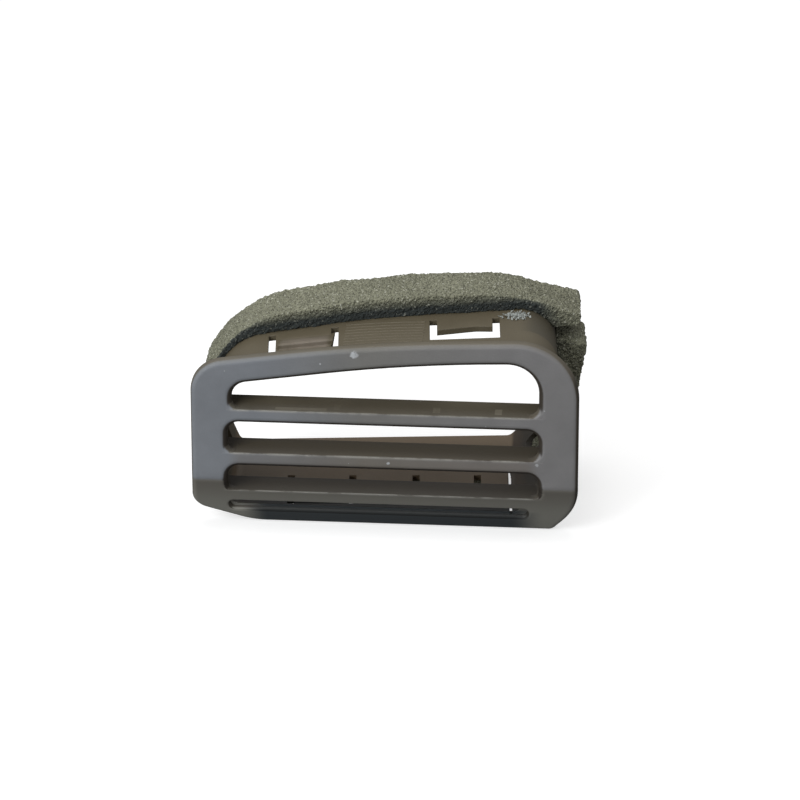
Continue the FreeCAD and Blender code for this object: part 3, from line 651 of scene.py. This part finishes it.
# Torn shreds: pale bits, taken to be foam and glue, on the wall beside the upper right end of the strip.
# They lie close to the wall at random places from a fixed seed, each a bent four-sided leaf.
shreds_mesh = bmesh.new()
shred_seed = 7
shred_count = 150
heap_x = 0.0425
heap_y = 0.0228
spread_x = 0.0022
spread_y = 0.0014
above_part = 0.1
lowest_shred = 0.02
down = Vector((0.0, 0.0, -1.0))
thickness = 6e-5
least_height = 0.0001
tip_rise = 2e-4
shred_random = random.Random(shred_seed)
grille_tree = BVHTree.FromObject(grille, bpy.context.evaluated_depsgraph_get())
for i in range(shred_count):
    drop_x = heap_x + shred_random.gauss(0.0, spread_x)
    drop_y = heap_y + shred_random.gauss(0.0, spread_y)
    spot, slope = grille_tree.ray_cast(Vector((drop_x, drop_y, above_part)), down)[:2]
    if spot is None or spot.z < lowest_shred:
        continue
    turn = shred_random.uniform(0.0, math.pi)
    long_way = Vector((math.cos(turn), math.sin(turn), shred_random.uniform(-0.2, 0.7)))
    long_way *= shred_random.uniform(2e-4, 7e-4)
    wide_way = Vector((-math.sin(turn), math.cos(turn), 0.3)) * shred_random.uniform(1.6e-4, 4.2e-4)
    base = spot + slope * (least_height + shred_random.uniform(0.0, 5e-4))
    leaf = [
        corner + slope * level
        for level in (0.0, thickness)
        for corner in (base - long_way, base - wide_way, base + long_way + slope * tip_rise, base + wide_way)
    ]
    leaf_verts = [shreds_mesh.verts.new(point) for point in leaf]
    for loop in ((3, 2, 1, 0), (4, 5, 6, 7), (0, 1, 5, 4), (1, 2, 6, 5), (2, 3, 7, 6), (3, 0, 4, 7)):
        shreds_mesh.faces.new([leaf_verts[k] for k in loop])
bmesh.ops.recalc_face_normals(shreds_mesh, faces=shreds_mesh.faces)
shreds_data = bpy.data.meshes.new("torn_shreds")
shreds_mesh.to_mesh(shreds_data)
shreds_mesh.free()
shreds = bpy.data.objects.new("torn_shreds", shreds_data)
bpy.context.scene.collection.objects.link(shreds)
shred_dark = (0.13, 0.135, 0.115)
shred_pale = (0.40, 0.43, 0.42)
shred_material = bpy.data.materials.new("torn_foam")
shred_material.use_nodes = True
nodes = shred_material.node_tree.nodes
links = shred_material.node_tree.links
shred_place = nodes.new("ShaderNodeTexCoord")
shred_noise = nodes.new("ShaderNodeTexNoise")
shred_noise.inputs["Scale"].default_value = 900.0
links.new(shred_place.outputs["Object"], shred_noise.inputs["Vector"])
shred_tint = over(shred_noise.outputs["Fac"], shred_dark, shred_pale)
links.new(shred_tint, nodes["Principled BSDF"].inputs["Base Color"])
nodes["Principled BSDF"].inputs["Roughness"].default_value = 0.9
shreds_data.materials.append(shred_material)
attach(shreds, "root")


# Foam: two strips cut from open-cell foam, on the outside of the duct; the long one has a free tail.
# Each strip is remeshed, rounded, bulges a little and is pitted by its cells.
# The pits and the ragged edges are in the mesh, the finest cells are in the material, with painted shade in
# their hollows.
foam_dark = (0.140, 0.140, 0.097)
foam_light = (0.236, 0.236, 0.170)
pore_shade_colour = (0.055, 0.055, 0.038)
near_skirt_shade_colour = (0.022, 0.027, 0.026)
glint_colour = (0.44, 0.44, 0.37)
foam_material = bpy.data.materials.new("seal_foam")
foam_material.use_nodes = True
nodes = foam_material.node_tree.nodes
links = foam_material.node_tree.links
nodes.clear()
out = nodes.new("ShaderNodeOutputMaterial")
shader = nodes.new("ShaderNodeBsdfPrincipled")
links.new(shader.outputs["BSDF"], out.inputs["Surface"])
place = nodes.new("ShaderNodeTexCoord")
cells = nodes.new("ShaderNodeTexVoronoi")
cells.inputs["Scale"].default_value = 1500.0
links.new(place.outputs["Object"], cells.inputs["Vector"])
stain = nodes.new("ShaderNodeTexNoise")
stain.inputs["Scale"].default_value = 70.0
stain.inputs["Detail"].default_value = 4.0
links.new(place.outputs["Object"], stain.inputs["Vector"])
glint_noise = nodes.new("ShaderNodeTexNoise")
glint_noise.inputs["Scale"].default_value = 1300.0
glint_noise.inputs["Detail"].default_value = 1.0
links.new(place.outputs["Object"], glint_noise.inputs["Vector"])
shade_near_skirt = nodes.new("ShaderNodeAttribute")
shade_near_skirt.attribute_name = "near_skirt"
foam_tint = over(stain.outputs["Fac"], foam_dark, foam_light)
# Painted shade in the hollows of the finest cells
foam_tint = over(straight(cells.outputs["Distance"], 0.12, 0.55), pore_shade_colour, foam_tint)
# Painted shade on the strips' front faces, darkest close to the duct
foam_tint = over(shade_near_skirt.outputs["Fac"], foam_tint, near_skirt_shade_colour)
# Painted highlights: pale glints on the cell walls, fewer where the painted shade lies
glint_share = product(
    straight(glint_noise.outputs["Fac"], 0.62, 0.72, most=0.75),
    straight(shade_near_skirt.outputs["Fac"], 0.0, 1.0, 1.0, 0.35),
)
foam_tint = over(glint_share, foam_tint, glint_colour)
links.new(foam_tint, shader.inputs["Base Color"])
shader.inputs["Roughness"].default_value = 0.95
relief = nodes.new("ShaderNodeBump")
relief.inputs["Strength"].default_value = 0.6
relief.inputs["Distance"].default_value = 0.0004
links.new(cells.outputs["Distance"], relief.inputs["Height"])
links.new(relief.outputs["Normal"], shader.inputs["Normal"])

# Shape: what each strip's solid is given, and how far the painted shade on its front reaches from the duct
voxel_size = 0.00042
cell_size = 0.0009
pit_depth = 0.0005
pit_edge = 1.6
swell = 0.0002
wide_waves = 0.0006
wide_scale = 110.0
fine_waves = 0.0004
fine_scale = 900.0
front_edge = 1.6
unshaded_from = 0.0064
shaded_over = 0.0036
tail_from = 0.0600
tail_over = 0.0100
wide_left_of = -0.050
wide_below = -0.006
wide_behind = 0.036
wider_by = 0.005
blend_across = 0.004
blend = 0.006
for name in ("foam_strip", "foam_side_strip"):
    foam_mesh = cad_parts[name].data.copy()
    foam = bpy.data.objects.new(f"{name}_open_cell", foam_mesh)
    bpy.context.scene.collection.objects.link(foam)
    remesh = foam.modifiers.new("even_faces", "REMESH")
    remesh.mode = "VOXEL"
    remesh.voxel_size = voxel_size
    rounded = foam.modifiers.new("rounded_edges", "SMOOTH")
    rounded.factor = 0.5
    rounded.iterations = 14
    bpy.context.view_layer.update()
    evaluated_foam = foam.evaluated_get(bpy.context.evaluated_depsgraph_get())
    shaped = bpy.data.meshes.new_from_object(evaluated_foam)
    foam.modifiers.clear()
    foam.data = shaped
    count = len(shaped.vertices)
    points = np.empty(count * 3)
    shaped.vertices.foreach_get("co", points)
    points = points.reshape(-1, 3)
    normals = np.empty(count * 3)
    shaped.vertices.foreach_get("normal", normals)
    normals = normals.reshape(-1, 3)
    push = np.empty(count)
    # The painted shade on each point's front, kept as the attribute near_skirt
    near_skirt = np.empty(count, dtype=np.float32)
    for i in range(count):
        spot = Vector(points[i])
        near = noise.voronoi(spot / cell_size)[0]
        wall = min(1.0, (near[1] - near[0]) * pit_edge)
        waves = wide_waves * noise.noise(spot * wide_scale) + fine_waves * noise.noise(spot * fine_scale)
        push[i] = swell - pit_depth * wall + waves
        gap = grille_tree.find_nearest(spot)[3]
        front = min(1.0, max(0.0, -normals[i][1] * front_edge))
        before_tail = min(1.0, max(0.0, (tail_from - spot.x) / tail_over))
        near_skirt[i] = front * before_tail * min(1.0, max(0.0, (unshaded_from - gap) / shaded_over))
    points += normals * push[:, None]
    if name == "foam_strip":
        # The strip's lower left part reaches further to the rear than its solid, as a guess
        to_left = np.clip((wide_left_of - points[:, 0]) / blend_across, 0.0, 1.0)
        to_low = np.clip((wide_below - points[:, 2]) / blend, 0.0, 1.0)
        to_rear = np.clip((points[:, 1] - wide_behind) / blend, 0.0, 1.0)
        points[:, 1] += wider_by * to_left * to_low * to_rear
    # The foam is pressed flat at the CAD's lowest level
    points[:, 2] = np.maximum(points[:, 2], cad_low.z)
    shaped.vertices.foreach_set("co", points.ravel())
    shade_attribute = shaped.attributes.new("near_skirt", "FLOAT", "POINT")
    shade_attribute.data.foreach_set("value", near_skirt)
    shaped.update()
    shaped.materials.clear()
    shaped.materials.append(foam_material)
    shaped.shade_flat()
    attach(foam, "root")
    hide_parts(name)


# View: the plain view.
bpy.context.scene.view_settings.view_transform = "Standard"
